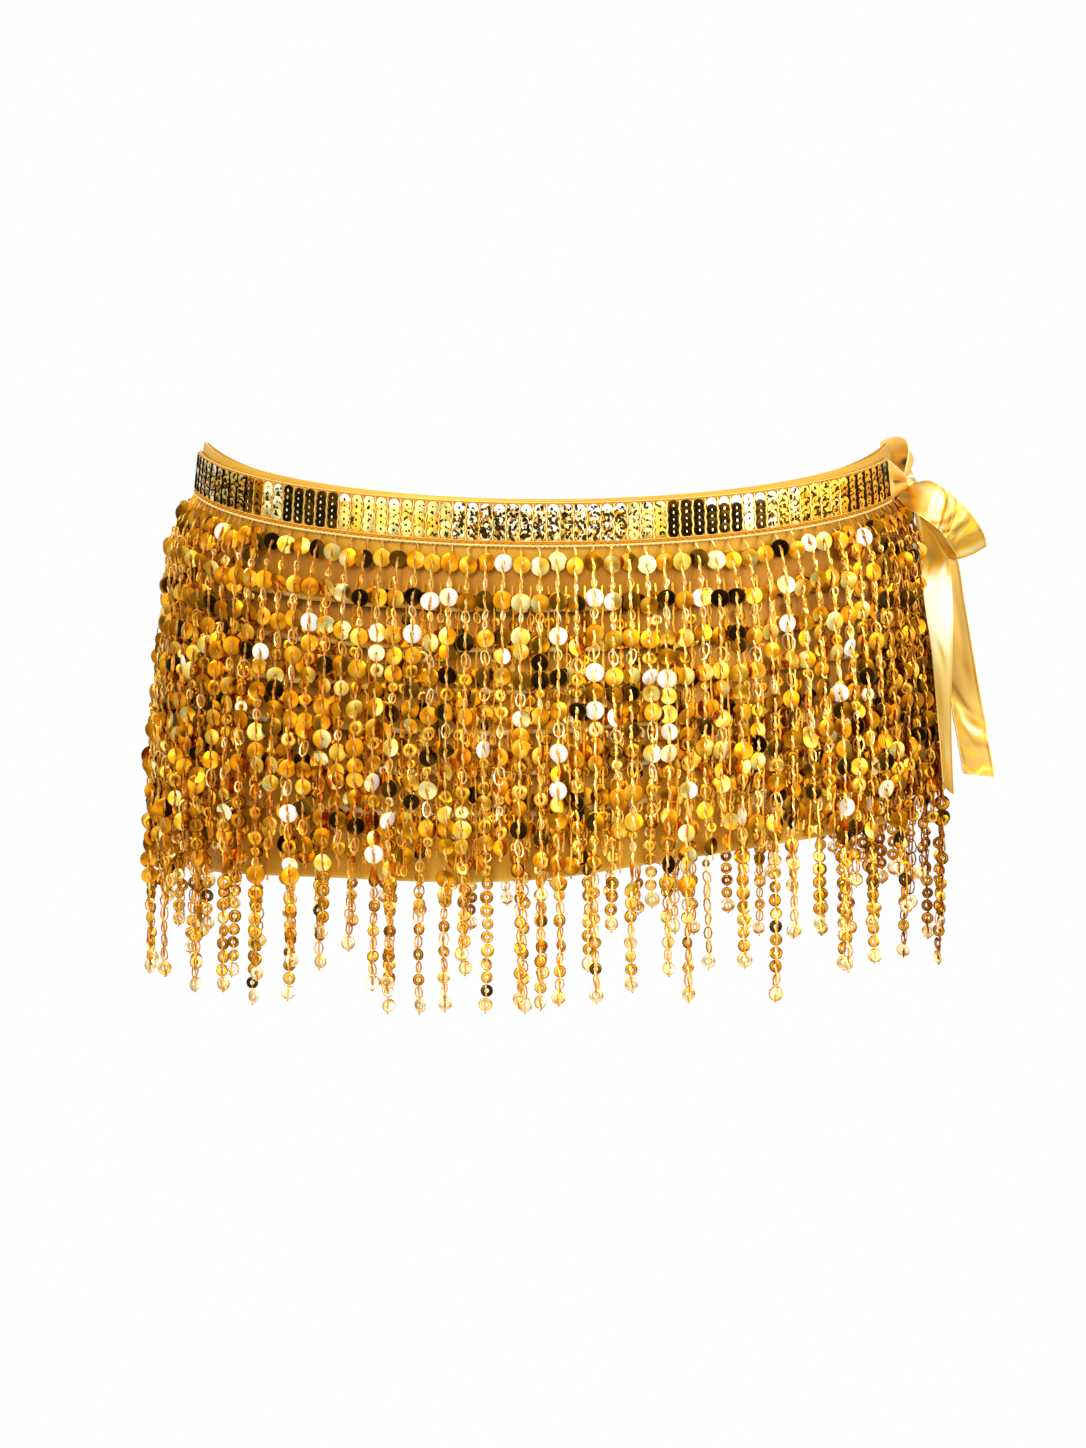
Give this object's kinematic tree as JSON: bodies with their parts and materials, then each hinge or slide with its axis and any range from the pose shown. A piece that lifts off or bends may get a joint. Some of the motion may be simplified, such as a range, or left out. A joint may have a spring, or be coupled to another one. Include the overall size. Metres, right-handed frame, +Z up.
{
  "type": "sequin fringe belt",
  "caption": "Hip belt of gold satin with a sequin band, shingled satin tiers and hanging sequin fringe, tied with a ribbon over one hip.",
  "frame": {"origin": "middle of the hips that the belt goes round, level with the front's top edge", "axes": "+Z up along the wearer's body, front faces -Y, knot over the hip at +X (the wearer's left)"},
  "size_m": [0.4058, 0.2691, 0.2649],
  "materials": {
    "wrap_satin": "tan gold satin, smooth side out, folded top edge and stitched hem",
    "tier_satin": "tan gold satin flaps with a narrow stitched hem",
    "ribbon_satin": "bright gold satin ribbon with a soft sheen and stitched edges",
    "sequin_band": "mirror-like gold sequins in close columns between metallic braids",
    "sequin_fringe": "metallized gold sequins strung on metallic thread"
  },
  "bodies": {
    "root": {"skirt_cloth": "wrap_satin", "waistband": "sequin_band", "tier_1": "tier_satin", "tier_2": "tier_satin", "tier_3": "tier_satin", "tier_4": "tier_satin", "tier_5": "tier_satin", "tier_6": "tier_satin", "fringe_upper": "sequin_fringe", "fringe_lower": "sequin_fringe", "tie_front_tab": "ribbon_satin", "tie_back_tab": "ribbon_satin", "tie_knot": "ribbon_satin", "tie_loop": "ribbon_satin", "tie_tail_front": "ribbon_satin", "tie_tail_back": "ribbon_satin"}
  },
  "joints": []
}
